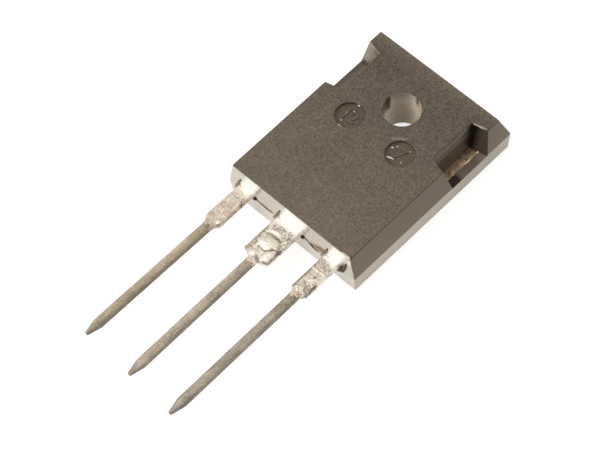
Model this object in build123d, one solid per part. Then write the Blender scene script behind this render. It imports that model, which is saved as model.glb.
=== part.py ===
"""Three-lead power transistor (IGBT) in a large flat moulded package with a mounting hole.

Frame, in millimetres: the part lies on its back. The heat-sink face is the plane z = 0, +Z points out
of the moulded front face, +Y points from the leads towards the hole end, and +X points from the gate
lead towards the emitter lead. The origin is on the axis of the mounting hole, at the back face.
"""
from build123d import *
import math
import os

# ---------------------------------------------------------------- moulded body
body_width = 15.7                # across the parting line
body_length = 20.9               # along the parting line
body_thickness = 5.0             # back face to front face
parting_height = 2.1             # where the two mould halves met, above the back face
side_draft = 0.55                # each long side leans in this much by the front face
hole_end_draft = 1.1             # the hole end leans in more
lead_end_draft = 0.1             # the lead end is almost square
back_draft = 0.12                # every side leans in this much by the back face
corner_radius = 0.15             # upright corners
front_edge_radius = 0.08         # rim of the front face
hole_diameter = 3.65
hole_to_end = 6.15               # hole axis to the hole end, at the parting line

# ---------------------------------------------------------------- clamp notches in both long sides
notch_centre = 0.55              # beyond the hole axis, towards the hole end
notch_length = 6.05              # along the long edge of the front face
notch_depth = 1.55               # in from the long edge of the front face
notch_flare = 0.38               # each end wall stands this much nearer at the inner wall
notch_end_draft = 0.8            # each end wall leans in this much by the floor
notch_inner_draft = 0.3          # the inner wall leans out this much by the floor
notch_rim_radius = 0.35          # along the front-face edge of the inner wall

# ---------------------------------------------------------------- ejector pin marks in the front face
pin_mark_diameter = 2.86
pin_mark_depth = 0.14
pin_mark_spacing = 6.2           # centre to centre, across
pin_mark_setback = 3.63          # from the hole axis, towards the leads

# ---------------------------------------------------------------- copper tab under the chips
tab_thickness = 2.0
tab_width = 13.9                 # at the locking lip, bare in the notches
pad_length = 16.9                # bare copper face on the back
pad_margin = 1.1                 # lead end of the body, at the parting line, to the bare face
lip_width = 0.3                  # the lip overhangs the bare face by this much, so the mould grips it
lip_thickness = 0.9
chip_deck_setback = 1.5          # the full thickness stops this far short of the bare face's lead end
ring_diameter = 7.2              # mould ring that insulates the hole from the tab

# ---------------------------------------------------------------- leads
lead_pitch = 5.44
lead_thickness = 0.6
lead_height = 2.4                # back face to the underside of the leads
lead_length = 20.4               # out of the body, from the parting line to the tip
blade_width = 1.05               # the long thin part
side_shank_width = 1.8           # the broad part next to the body, gate and emitter
centre_shank_width = 2.9         # the same on the collector
shank_length = 4.4
shoulder_length = 0.4            # slope from the shank to the blade
tip_length = 1.45
tip_width = 0.34
tip_thickness = 0.4
lead_rounding = 0.27             # stamped and tinned, so the long edges are round
lead_row_shift = -0.08           # the row of leads sits this far off the middle of the body
emitter_root_shift = -0.11       # and the emitter lead this much further
gate_lift = 0.95                 # how far the used gate lead's tip is bent up
gate_splay = 0.30                # and towards the emitter side
collector_splay = 0.08
emitter_lift = -0.90
emitter_splay = -0.30

# ---------------------------------------------------------------- gaps in the moulding at the lead roots
root_void_diameter = 0.42        # at the lower +X corner of each lead
root_void_depth = 0.5            # into the body
root_void_drop = 0.1             # below the underside of the leads

# ---------------------------------------------------------------- lead frame inside the mould
post_inner_reach = 2.9           # bonding post, from its lead's centre line towards the middle
post_outer_reach = 1.7           # and towards the side of the body
post_length = 1.5
post_margin = 0.55               # lead end of the body to the post
neck_slope_run = 1.0             # the collector lead climbs from the tab over this length
neck_overlap = 0.5               # length over which the neck is rooted in the tab

# ---------------------------------------------------------------- chips and their solder
solder_thickness = 0.06
chip_setback = 1.25              # lead end of the full-thickness tab to the switching chip
switch_chip_size = 6.0
switch_chip_thickness = 0.24
switch_chip_offset = -1.3        # across, from the centre line
diode_chip_width = 3.8
diode_chip_length = 5.0
diode_chip_thickness = 0.28
chip_gap = 0.6                   # between the two chips
chip_solder_border = 0.15        # the solder shows this much all round a chip

# ---------------------------------------------------------------- bond wires
gate_wire_diameter = 0.18
power_wire_diameter = 0.38
wire_loop_height = 0.75          # above the straight line between the two feet
foot_length_ratio = 2.4          # foot length over wire diameter
foot_width_ratio = 1.1
foot_height_ratio = 0.8          # foot height over wire diameter
foot_edge = 0.55                 # centre of a foot to the edge of its chip or post
power_wire_pitch = 1.1           # between neighbouring wires
power_wire_count = 4             # side by side on the emitter post, two for each chip

# ---------------------------------------------------------------- solder left on the shanks
residue_width_share = 0.92       # of the flat top of the shank
residue_height = 0.30            # heaviest lump, on the collector
residue_film_height = 0.12       # on the gate and emitter
residue_film_lumps = 5           # in the row along a gate or emitter shank
residue_sides = 9                # of each lump
residue_crown_share = 0.55       # of a lump's radius
residue_first_share = 0.2        # first lump of the row, as a share of the shank's length
residue_last_share = 0.93        # last lump

# ---------------------------------------------------------------- worked out from the sizes above
half_width = body_width / 2
hole_end = hole_to_end
lead_end = hole_to_end - body_length
front_half_width = half_width - side_draft
front_hole_end = hole_end - hole_end_draft
front_lead_end = lead_end + lead_end_draft
hole_radius = hole_diameter / 2
lead_top = lead_height + lead_thickness
lead_middle = lead_height + lead_thickness / 2
gate_x = lead_row_shift - lead_pitch
collector_x = lead_row_shift
emitter_x = lead_row_shift + lead_pitch + emitter_root_shift
pad_lead_end = lead_end + pad_margin
pad_hole_end = pad_lead_end + pad_length
deck_lead_end = pad_lead_end + chip_deck_setback
post_lead_end = lead_end + post_margin
chip_seat = tab_thickness + solder_thickness
chip_row = deck_lead_end + chip_setback + switch_chip_size / 2
diode_chip_offset = switch_chip_offset + (switch_chip_size + diode_chip_width) / 2 + chip_gap
cut_past = 1.0                   # a cutter runs this far past the face that it opens
tiny = 0.001


def block(x_low, x_high, y_low, y_high, z_low, z_high):
    """A box given by its two corners."""
    size = (x_high - x_low, y_high - y_low, z_high - z_low)
    middle = ((x_low + x_high) / 2, (y_low + y_high) / 2, (z_low + z_high) / 2)
    return Pos(*middle) * Box(*size)


def upright(x, y, radius, z_low, z_high):
    """A cylinder standing along Z."""
    return Pos(x, y, (z_low + z_high) / 2) * Cylinder(radius, z_high - z_low)


def drafted_block():
    """The outside of the moulding: two profiles pushed through each other."""
    side_profile = [
        (lead_end + back_draft, 0),
        (lead_end, parting_height),
        (front_lead_end, body_thickness),
        (front_hole_end, body_thickness),
        (hole_end, parting_height),
        (hole_end - back_draft, 0),
    ]
    front_profile = [
        (half_width - back_draft, 0),
        (half_width, parting_height),
        (front_half_width, body_thickness),
        (-front_half_width, body_thickness),
        (-half_width, parting_height),
        (back_draft - half_width, 0),
    ]
    along = Plane.YZ * make_face(Polyline(*side_profile, close=True))
    across = Plane.XZ * make_face(Polyline(*front_profile, close=True))
    outside = extrude(along, half_width, both=True) & extrude(across, body_length, both=True)
    corners = [edge for edge in outside.edges() if is_upright(edge)]
    outside = fillet(corners, corner_radius)
    rim = outside.faces().sort_by(Axis.Z)[-1].edges()
    return fillet(rim, front_edge_radius)


def is_upright(edge):
    """True for the corner edges, which climb more than they run."""
    direction = edge.tangent_at(0.5)
    return abs(direction.Z) > max(abs(direction.X), abs(direction.Y))


def is_notch_rim(edge):
    """True for the front-face edge of a notch's inner wall."""
    middle = edge.center()
    on_front = abs(middle.Z - body_thickness) < tiny
    return on_front and abs(abs(middle.X) - (front_half_width - notch_depth)) < tiny


def notch_outline(z, half_length, inner):
    """The plan of a notch on the +X side at one height; it runs out past the side of the body."""
    outer = half_width + cut_past
    flare_per_mm = notch_flare / notch_depth
    outer_half_length = half_length + flare_per_mm * (outer - front_half_width)
    inner_half_length = half_length - flare_per_mm * (front_half_width - inner)
    corners = [
        (inner, notch_centre - inner_half_length),
        (outer, notch_centre - outer_half_length),
        (outer, notch_centre + outer_half_length),
        (inner, notch_centre + inner_half_length),
    ]
    return Plane.XY.offset(z) * make_face(Polyline(*corners, close=True))


def clamp_notch():
    """The cutter for one notch, with its floor level with the top of the tab."""
    inner = front_half_width - notch_depth
    depth = body_thickness - tab_thickness
    above = body_thickness + cut_past
    lean = cut_past / depth
    floor = notch_outline(tab_thickness, notch_length / 2 - notch_end_draft, inner + notch_inner_draft)
    mouth = notch_outline(
        above, notch_length / 2 + notch_end_draft * lean, inner - notch_inner_draft * lean)
    return loft([floor, mouth], ruled=True)


def pin_marks():
    """Cutters for the two shallow round marks that the ejector pins left."""
    floor = body_thickness - pin_mark_depth
    return [
        upright(side * pin_mark_spacing / 2, -pin_mark_setback, pin_mark_diameter / 2,
                floor, body_thickness + cut_past)
        for side in (-1, 1)
    ]


def root_voids():
    """Cutters for the small gaps that the epoxy left at one lower corner of each lead."""
    edges = [
        gate_x + side_shank_width / 2,
        collector_x + centre_shank_width / 2,
        emitter_x + side_shank_width / 2,
    ]
    length = root_void_depth + cut_past
    middle = lead_end + root_void_depth - length / 2
    return [
        Pos(x, middle, lead_height - root_void_drop)
        * Rot(90, 0, 0)
        * Cylinder(root_void_diameter / 2, length)
        for x in edges
    ]


def copper_tab():
    """The thick plate: a bare face on the back, a wider lip above it, and a bay round the hole."""
    half_lip = tab_width / 2
    half_pad = half_lip - lip_width
    lip_bottom = tab_thickness - lip_thickness
    plate = block(-half_pad, half_pad, pad_lead_end, pad_hole_end, 0, lip_bottom)
    deck = block(-half_lip, half_lip, deck_lead_end, pad_hole_end + lip_width, lip_bottom, tab_thickness)
    bay = upright(0, 0, ring_diameter / 2, 0, tab_thickness)
    mouth = block(-ring_diameter / 2, ring_diameter / 2, 0, hole_end, 0, tab_thickness)
    return plate + deck - bay - mouth


def collector_neck():
    """The strip that climbs from the tab to the level of the leads."""
    thickness_shift = lead_thickness * math.tan(math.atan2(lead_top - tab_thickness, neck_slope_run) / 2)
    root = deck_lead_end + neck_overlap
    foot = deck_lead_end - thickness_shift
    head = foot - neck_slope_run
    tab_side = tab_thickness - lead_thickness
    outline = [
        (root, tab_thickness),
        (foot, tab_thickness),
        (head, lead_top),
        (lead_end, lead_top),
        (lead_end, lead_height),
        (head + thickness_shift, lead_height),
        (foot + thickness_shift, tab_side),
        (root, tab_side),
    ]
    profile = Plane.YZ * make_face(Polyline(*outline, close=True))
    return Pos(collector_x, 0, 0) * extrude(profile, centre_shank_width / 2, both=True)


def lead_section(x, out, width, thickness, lift=0.0, splay=0.0):
    """A rounded cross-section of a lead, at a distance out from the body."""
    rounding = min(lead_rounding, 0.45 * min(width, thickness))
    plane = Plane(origin=(x + splay, lead_end - out, lead_middle + lift), x_dir=(1, 0, 0), z_dir=(0, -1, 0))
    return plane * RectangleRounded(width, thickness, rounding)


def outer_lead(x, shank_width, lift=0.0, splay=0.0):
    """The tinned lead outside the body: shank, shoulder, blade and pointed tip."""
    blade_start = shank_length + shoulder_length
    taper_start = lead_length - tip_length
    bent_share = (taper_start - blade_start) / (lead_length - blade_start)
    sections = [
        lead_section(x, 0, shank_width, lead_thickness),
        lead_section(x, shank_length, shank_width, lead_thickness),
        lead_section(x, blade_start, blade_width, lead_thickness),
        lead_section(x, taper_start, blade_width, lead_thickness, lift * bent_share, splay * bent_share),
        lead_section(x, lead_length, tip_width, tip_thickness, lift, splay),
    ]
    return loft(sections, ruled=True)


def bonding_post(x):
    """The flat inner end of a side lead, with the stub that joins it to the shank."""
    outward = math.copysign(1, x)
    half_shank = side_shank_width / 2 - lead_rounding
    edges = sorted([x - outward * post_inner_reach, x + outward * post_outer_reach])
    post = block(*edges, post_lead_end, post_lead_end + post_length, lead_height, lead_top)
    stub = block(x - half_shank, x + half_shank, lead_end, post_lead_end, lead_height, lead_top)
    return post + stub


def side_lead(x, lift, splay):
    """Gate or emitter lead, in one piece with its bonding post."""
    return bonding_post(x) + outer_lead(x, side_shank_width, lift, splay)


def chip(x, width, length, thickness):
    """A silicon chip on its solder."""
    return block(x - width / 2, x + width / 2, chip_row - length / 2, chip_row + length / 2,
                 chip_seat, chip_seat + thickness)


def chip_solder(x, width, length):
    """The solder layer between a chip and the tab."""
    half_across = width / 2 + chip_solder_border
    half_along = length / 2 + chip_solder_border
    return block(x - half_across, x + half_across, chip_row - half_along, chip_row + half_along,
                 tab_thickness, chip_seat)


def wire_foot(x, z, diameter):
    """The flattened end of a bond wire that runs along X."""
    length = foot_length_ratio * diameter
    width = foot_width_ratio * diameter
    height = foot_height_ratio * diameter
    return Pos(x, 0, z + height / 2) * Box(length, width, height)


def bond_wire(start, end, diameter):
    """An arched aluminium wire with a foot at each end, made along X and turned to its heading."""
    reach = math.hypot(end[0] - start[0], end[1] - start[1])
    rise = end[2] - start[2]
    first = Vector(0, 0, diameter / 2)
    last = Vector(reach, 0, rise + diameter / 2)
    top = (first + last) / 2 + Vector(0, 0, wire_loop_height)
    path = ThreePointArc(first, top, last)
    section = Plane(origin=first, x_dir=(0, -1, 0), z_dir=path % 0) * Circle(diameter / 2)
    wire = sweep(section, path=path) + wire_foot(0, 0, diameter) + wire_foot(reach, rise, diameter)
    heading = math.degrees(math.atan2(end[1] - start[1], end[0] - start[0]))
    return Pos(*start) * Rot(0, 0, heading) * wire


def gate_wire():
    """From the gate post to the near corner of the switching chip."""
    corner_x = switch_chip_offset - switch_chip_size / 2 + foot_edge
    corner_y = chip_row - switch_chip_size / 2 + foot_edge
    post = (gate_x, post_lead_end + post_length - foot_edge, lead_top)
    pad = (corner_x, corner_y, chip_seat + switch_chip_thickness)
    return bond_wire(post, pad, gate_wire_diameter)


def power_wires(chip_x, chip_length, chip_top, first_slot):
    """Two level wires from neighbouring slots on the emitter post to the top of one chip."""
    post_middle = emitter_x + (post_outer_reach - post_inner_reach) / 2
    post_y = post_lead_end + post_length - foot_edge
    pad_y = chip_row - chip_length / 2 + 2 * foot_edge
    wires = []
    for step in (0, 1):
        slot = first_slot + step - (power_wire_count - 1) / 2
        post = (post_middle + slot * power_wire_pitch, post_y, lead_top)
        pad = (chip_x + (step - 0.5) * power_wire_pitch, pad_y, chip_top)
        wires.append(bond_wire(post, pad, power_wire_diameter))
    return wires


def solder_lump(x, y, radius, height):
    """A low lump of solder on the top of a lead, with flat sides and a flat crown."""
    base = Pos(x, y, lead_top) * RegularPolygon(radius, residue_sides)
    crown = Pos(x, y, lead_top + height) * RegularPolygon(residue_crown_share * radius, residue_sides)
    return loft([base, crown], ruled=True)


def lead_residue(x, shank_width, lumps):
    """Solder left on a shank. Each lump is its place along the shank, its side, spread and height."""
    reach = residue_width_share * (shank_width / 2 - lead_rounding)
    solder = None
    for along, side, spread, height in lumps:
        radius = reach * spread
        y = lead_end - along * shank_length
        lump = solder_lump(x + side * (reach - radius), y, radius, height)
        solder = lump if solder is None else solder + lump
    return solder


def residue_film():
    """Even low lumps along a shank, left and right in turn."""
    step = (residue_last_share - residue_first_share) / (residue_film_lumps - 1)
    return [
        (residue_first_share + step * index, (-1) ** index, 0.95, residue_film_height)
        for index in range(residue_film_lumps)
    ]


def build():
    """Every piece of the transistor, by node name."""
    centre_lead = outer_lead(collector_x, centre_shank_width, splay=collector_splay)
    tab = copper_tab() + collector_neck() + centre_lead
    gate_lead = side_lead(gate_x, gate_lift, gate_splay)
    emitter_lead = side_lead(emitter_x, emitter_lift, emitter_splay)
    switch_chip_top = chip_seat + switch_chip_thickness
    diode_chip_top = chip_seat + diode_chip_thickness
    pieces = {
        "collector_tab": tab,
        "gate_lead": gate_lead,
        "emitter_lead": emitter_lead,
        "igbt_chip": chip(switch_chip_offset, switch_chip_size, switch_chip_size, switch_chip_thickness),
        "igbt_chip_solder": chip_solder(switch_chip_offset, switch_chip_size, switch_chip_size),
        "diode_chip": chip(diode_chip_offset, diode_chip_width, diode_chip_length, diode_chip_thickness),
        "diode_chip_solder": chip_solder(diode_chip_offset, diode_chip_width, diode_chip_length),
        "gate_bond_wire": gate_wire(),
    }
    switch_wires = power_wires(switch_chip_offset, switch_chip_size, switch_chip_top, 0)
    diode_wires = power_wires(diode_chip_offset, diode_chip_length, diode_chip_top, 2)
    for number, wire in enumerate(switch_wires, start=1):
        pieces[f"emitter_bond_wire_{number}"] = wire
    for number, wire in enumerate(diode_wires, start=1):
        pieces[f"diode_bond_wire_{number}"] = wire

    body = drafted_block()
    notch = clamp_notch()
    body -= [notch, mirror(notch, about=Plane.YZ)]
    body -= upright(0, 0, hole_radius, -cut_past, body_thickness + cut_past)
    body -= pin_marks()
    for piece in pieces.values():
        body -= piece
    body -= root_voids()
    body = fillet([edge for edge in body.edges() if is_notch_rim(edge)], notch_rim_radius)
    pieces["mould_body"] = body

    collector_lumps = [
        (0.25, -1, 0.8, residue_film_height),
        (0.55, -1, 0.85, residue_height),
        (0.72, 1, 0.9, residue_height),
    ]
    pieces["gate_lead_solder"] = lead_residue(gate_x, side_shank_width, residue_film())
    pieces["emitter_lead_solder"] = lead_residue(emitter_x, side_shank_width, residue_film())
    pieces["collector_lead_solder"] = lead_residue(collector_x, centre_shank_width, collector_lumps)
    return pieces


os.makedirs("parts", exist_ok=True)
for name, piece in build().items():
    export_step(piece, f"parts/{name}.step")
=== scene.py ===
# %% [markdown]
# # A three-lead power transistor
# The object is a flat block of moulded epoxy with a mounting hole, two ejector pin marks and a
# notch in each long side. A thick copper tab is bare on the back and in the notches. Three tinned
# copper leads come out of one end, and earlier soldering has left a lumpy coat on their broad
# parts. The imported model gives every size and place. This lesson gives it its finishes, and adds
# the small forms that are too fine for the construction model.

import math
from typing import NamedTuple

import bmesh
import bpy
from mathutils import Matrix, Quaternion, Vector, noise


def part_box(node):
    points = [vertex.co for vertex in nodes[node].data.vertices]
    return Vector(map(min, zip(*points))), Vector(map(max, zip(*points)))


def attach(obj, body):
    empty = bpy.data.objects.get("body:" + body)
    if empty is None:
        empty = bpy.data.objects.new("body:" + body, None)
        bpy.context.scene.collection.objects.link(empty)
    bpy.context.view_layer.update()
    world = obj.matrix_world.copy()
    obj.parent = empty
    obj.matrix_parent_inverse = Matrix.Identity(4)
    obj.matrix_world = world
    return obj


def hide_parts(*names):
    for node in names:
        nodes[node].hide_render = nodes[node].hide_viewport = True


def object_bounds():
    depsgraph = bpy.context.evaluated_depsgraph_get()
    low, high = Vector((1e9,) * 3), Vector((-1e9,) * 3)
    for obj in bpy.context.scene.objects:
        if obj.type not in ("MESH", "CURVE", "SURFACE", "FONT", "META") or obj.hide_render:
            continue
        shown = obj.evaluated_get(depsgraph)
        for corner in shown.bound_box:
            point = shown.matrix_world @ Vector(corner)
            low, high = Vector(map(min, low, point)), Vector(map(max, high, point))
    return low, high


MM = 0.001
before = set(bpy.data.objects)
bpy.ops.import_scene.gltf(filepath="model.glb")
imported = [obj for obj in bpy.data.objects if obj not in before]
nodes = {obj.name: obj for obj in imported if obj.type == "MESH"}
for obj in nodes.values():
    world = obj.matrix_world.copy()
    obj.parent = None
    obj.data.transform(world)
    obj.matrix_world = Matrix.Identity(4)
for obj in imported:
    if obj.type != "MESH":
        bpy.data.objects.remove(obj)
cad_low, cad_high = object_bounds()
print("model box in mm:", [round(size / MM, 2) for size in cad_high - cad_low])

# %% [markdown]
# ## The places that everything else is measured from
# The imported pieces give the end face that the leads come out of, the flat front face and the top
# of the leads. The other sizes are the package's own. All sizes and places on the part are written
# in millimetres. MM turns them into Blender's metres at the end of each piece, and materials turn
# their coordinates into millimetres.

# %% Named places
body_low, body_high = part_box("mould_body")
end_face = body_low.y / MM
front_face = body_high.z / MM
front_half_width = 7.3
parting_height = 2.1
hole_radius = 1.825
notch_wall = front_half_width - 1.55
notch_middle = 0.55
notch_floor = 2.0
pin_mark_radius = 1.43
pin_mark_spread = 3.1
pin_mark_setback = 3.63
pin_mark_floor = front_face - 0.14
lead_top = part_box("gate_lead_solder")[0].z / MM
lead_thickness = 0.6
lead_middle = lead_top - lead_thickness / 2
lead_rounding = 0.27
lead_tips = cad_low.y / MM
lead_reach = end_face - lead_tips
side_shank = 1.8
centre_shank = 2.9
blade_width = 1.05
shank_length = 4.4
blade_start = 4.8
print("end face at", round(end_face, 2), "mm, leads", round(lead_top, 2), "mm up")


# %% The three leads
class Lead(NamedTuple):
    """Its middle line at the root, its shank's breadth, and the tip's bend up and sideways."""

    name: str
    x: float
    shank: float
    lift: float
    splay: float

    @property
    def left(self):
        return self.x - self.shank / 2

    @property
    def right(self):
        return self.x + self.shank / 2


gate = Lead("gate", x=-5.52, shank=side_shank, lift=0.95, splay=0.30)
collector = Lead("collector", x=-0.08, shank=centre_shank, lift=0.0, splay=0.08)
emitter = Lead("emitter", x=5.25, shank=side_shank, lift=-0.90, splay=-0.30)
leads = [gate, collector, emitter]
print("leads:", [lead.name for lead in leads])

# %% [markdown]
# ## The camera
# A long lens looks down at the part from the emitter side of its leads, with a slight roll. The
# camera is placed by its azimuth, elevation and distance from a point on the part, because those
# are easier to read than a matrix.

# %% Camera
azimuth = math.radians(48.0)
elevation = math.radians(59.18)
roll = math.radians(-4.92)
distance = 247.71 * MM
target = Vector((-0.425, -13.255, 0.49)) * MM

towards_camera = Vector((
    math.sin(azimuth) * math.cos(elevation),
    -math.cos(azimuth) * math.cos(elevation),
    math.sin(elevation),
))
camera = bpy.data.objects.new("camera", bpy.data.cameras.new("camera"))
camera.data.sensor_width = 36
camera.data.lens = 163.85
camera.data.clip_start = distance / 20
camera.data.clip_end = distance * 40
camera.rotation_mode = "QUATERNION"
camera.location = target + towards_camera * distance
level = (-towards_camera).to_track_quat("-Z", "Y")
camera.rotation_quaternion = level @ Quaternion((0, 0, 1), roll)
bpy.context.scene.collection.objects.link(camera)
bpy.context.scene.camera = camera
bpy.context.scene.view_settings.view_transform = "Standard"
print("camera at", [round(value / MM, 1) for value in camera.location], "mm")

# %% [markdown]
# ## Writing materials as sums
# A material is a tree of nodes. Typing its maths as Python sums is shorter and easier to read than
# wiring each Math node by hand, so Signal wraps one output socket and overloads the operators, and
# Finish keeps the tree, adds any node, and names the few patterns that this part needs.


# %% Signal: a socket that takes part in sums
class Signal:
    """One output socket. Each sum with it adds a Math node and gives the new output."""

    def __init__(self, finish, socket):
        self.finish = finish
        self.socket = socket

    def math(self, operation, *values):
        return self.finish.node("ShaderNodeMath", {"operation": operation}, dict(enumerate(values)))

    def __add__(self, other):
        return self.math("ADD", self, other)

    def __sub__(self, other):
        return self.math("SUBTRACT", self, other)

    def __rsub__(self, other):
        return self.math("SUBTRACT", other, self)

    def __mul__(self, other):
        return self.math("MULTIPLY", self, other)

    def __pow__(self, other):
        return self.math("POWER", self, other)

    def __abs__(self):
        return self.math("ABSOLUTE", self)

    __radd__ = __add__
    __rmul__ = __mul__

    def clamped(self):
        return self.finish.node("ShaderNodeClamp", inputs={"Value": self})

    def ramp(self, low, high):
        """0 where the signal is at low, 1 at high, and smooth between; low may be above high."""
        return self.finish.node(
            "ShaderNodeMapRange", {"interpolation_type": "SMOOTHSTEP"},
            {"Value": self, "From Min": low, "From Max": high})


# %% Finish: a material in the making
class Finish:
    """A Principled material, its node tree, and the patterns that finishes share, in mm."""

    def __init__(self, name, **settings):
        self.material = bpy.data.materials.new(name)
        self.material.use_nodes = True
        self.tree = self.material.node_tree
        self.shader = self.tree.nodes["Principled BSDF"]
        for socket, value in settings.items():
            self.shader.inputs[socket.replace("_", " ")].default_value = value
        in_metres = self.node("ShaderNodeTexCoord", output="Object")
        self.place = self.node(
            "ShaderNodeVectorMath", {"operation": "SCALE"}, {0: in_metres, "Scale": 1 / MM})
        self.x, self.y, self.z = self.parts(self.place)
        self.face_x, self.face_y, self.face_z = self.parts(
            self.node("ShaderNodeNewGeometry", output="Normal"))

    def node(self, kind, settings=None, inputs=None, output=0):
        """Any node: its settings first, then the values or links of its sockets."""
        made = self.tree.nodes.new(kind)
        for name, value in (settings or {}).items():
            setattr(made, name, value)
        for key, value in (inputs or {}).items():
            if isinstance(value, Signal):
                self.tree.links.new(value.socket, made.inputs[key])
            else:
                made.inputs[key].default_value = value
        return Signal(self, made.outputs[output])

    def parts(self, vector):
        split = self.node("ShaderNodeSeparateXYZ", inputs={"Vector": vector})
        return [Signal(self, socket) for socket in split.socket.node.outputs]

    def noise(self, size, detail=2.0, rough=0.5, twist=0.0, stretch=(1, 1, 1)):
        """Cloudy pattern from 0 to 1, with features of about size, longer on a stretched axis."""
        vector = self.place
        if stretch != (1, 1, 1):
            scale = tuple(1 / value for value in stretch)
            vector = self.node("ShaderNodeMapping", inputs={"Vector": vector, "Scale": scale})
        return self.node("ShaderNodeTexNoise", inputs={
            "Vector": vector, "Scale": 1 / size, "Detail": detail, "Roughness": rough,
            "Distortion": twist})

    def away(self, across, up, place):
        """Distance from a place, measured on two of the axes."""
        run = [across - place[0], up - place[1]]
        return (run[0] * run[0] + run[1] * run[1]) ** 0.5

    def spot(self, across, up, place, reach):
        """1 at a place, fading to 0 at its reach."""
        return self.away(across, up, place).ramp(reach, 0.0)

    def stroke(self, across, up, start, end, breadth):
        """1 along a straight stroke drawn on two of the axes, fading to 0 at its breadth."""
        run = [end[0] - start[0], end[1] - start[1]]
        length = math.hypot(*run)
        ahead = [run[0] / length, run[1] / length]
        from_start = [across - start[0], up - start[1]]
        along = from_start[0] * ahead[0] + from_start[1] * ahead[1]
        sideways = abs(from_start[0] * ahead[1] - from_start[1] * ahead[0])
        overshoot = abs(along - length / 2) - length / 2
        beyond = self.node("ShaderNodeMath", {"operation": "MAXIMUM"}, {0: overshoot, 1: 0.0})
        return (sideways + beyond).ramp(breadth, 0.0)

    def attribute(self, name):
        return self.node("ShaderNodeAttribute", {"attribute_name": name}, output="Fac")

    def blend(self, under, over, amount):
        """Colour over, laid on colour under by an amount from 0 to 1."""
        under, over = [
            (*value, 1) if isinstance(value, tuple) else value for value in (under, over)]
        return self.node(
            "ShaderNodeMix", {"data_type": "RGBA"}, {0: amount, 6: under, 7: over}, output=2)

    def shade(self, colour, amount):
        """A colour made lighter or darker by an amount around 1."""
        return self.node(
            "ShaderNodeVectorMath", {"operation": "SCALE"}, {0: colour, "Scale": amount})

    def relief(self, height, depth):
        """Sends a height pattern to the surface, with the real depth of its full range."""
        bump = self.node("ShaderNodeBump", inputs={"Height": height, "Distance": depth * MM})
        self.feed(Normal=bump)

    def feed(self, **signals):
        for socket, signal in signals.items():
            self.tree.links.new(signal.socket, self.shader.inputs[socket.replace("_", " ")])


print("the material helpers are ready")

# %% [markdown]
# ## Moulded epoxy
# The body is black epoxy filled with glass powder. The mould's eroded steel gives it a fine grain,
# and strong light makes it look brown-grey. Each kind of face has its own tone: the side faces are
# darker and warmer as painted shade, and the band below the parting line is painted light as a
# painted reflection of the white table. The end face between the leads is painted pale as a
# painted glancing reflection, with a painted reflection of each lead white above its root, painted
# reflections of the leads' dark edges, painted shade in the voids at the roots, and brown and burnt
# flux stains. The finish starts as one colour with several scales of cloudiness, so that it has no
# visible repeat, and each mask lays one tone on one place. Painted shade, the painted dark
# reflections and the dark stains also go to Metallic: a metal reflects only its own colour, so they
# stay dark even where bare resin would shine.

# %% Epoxy colours
# Of these, the side colour is painted shade; the band, film and white colours and the hole wall and
# pale facet colours are painted light and reflection; the olive colour paints reflections of the
# leads' dark edges; the burnt colour is flux and painted shade in the root voids; the shadow colour
# darkens painted shade, the pin mark floors, the parting line and a chip; the torn edge colour also
# paints a highlight.
epoxy_colour = (0.148, 0.110, 0.085)
cool_epoxy_colour = (0.137, 0.111, 0.082)
side_colour = (0.128, 0.088, 0.040)
band_colour = (0.46, 0.375, 0.215)
glancing_reflection_colour = (0.57, 0.485, 0.365)
painted_white_light_colour = (0.93, 0.92, 0.875)
cream_flux_colour = (0.90, 0.87, 0.79)
edge_reflection_and_shade_colour = (0.17, 0.125, 0.06)
brown_flux_colour = (0.24, 0.165, 0.105)
burnt_flux_and_void_shade_colour = (0.025, 0.015, 0.009)
shade_seam_and_chip_colour = (0.035, 0.02, 0.009)
torn_edge_and_highlight_colour = (0.70, 0.64, 0.52)
hole_wall_colour = (0.48, 0.41, 0.32)
pale_facet_colour = (0.245, 0.195, 0.135)
print("epoxy tones run from", burnt_flux_and_void_shade_colour, "to", painted_white_light_colour)


# %% Tones of the whole faces
def grained_epoxy(finish, grain):
    """Gives the resin's colour by kind of face, and where the smooth band round the foot is.

    The side faces are darker and warmer as painted shade, lightening towards the band, and the
    band is painted light as a painted reflection of the table. All faces darken from the leads
    towards the hole and are lighter beyond it. The front face is also cloudy and grainy, at five
    scales.
    """
    clouds = finish.noise(5, 2)
    patches = finish.noise(1.1, 3)
    blotches = finish.noise(0.45, 2)
    powder = finish.noise(0.1, 1)
    colour = finish.blend(epoxy_colour, cool_epoxy_colour, finish.noise(1.6, 2).ramp(0.3, 0.7))
    # The side faces are darker and warmer as painted shade, and lighten towards the band below.
    on_side = abs(finish.face_x).ramp(0.4, 0.7) * abs(finish.x).ramp(6.9, 7.1)
    colour = finish.blend(colour, side_colour, on_side)
    colour = finish.shade(colour, 1 + on_side * (0.2 * finish.z.ramp(4.8, 2.2) - 0.07))
    # The band below the parting line is painted light: a painted reflection of the white table.
    below = finish.z.ramp(parting_height + 0.02, parting_height - 0.02)
    band = below * on_side
    colour = finish.blend(colour, band_colour, band)
    tone = 0.935 - 0.165 * finish.y.ramp(-14, -6) - 0.21 * finish.y.ramp(-6, 1.5)
    tone = tone + 0.31 * finish.y.ramp(3.2, 5.2)
    cloudy_tone = tone + 0.35 * (clouds - 0.5) + 0.4 * (patches - 0.5) + 0.6 * (blotches - 0.5)
    cloudy_tone = cloudy_tone + 1.95 * (grain - 0.5) + 1.1 * (powder - 0.5)
    on_front = finish.face_z.ramp(0.5, 0.9) * finish.z.ramp(4.4, 4.8)
    return finish.shade(colour, tone + on_front * (cloudy_tone - tone)), band
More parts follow.
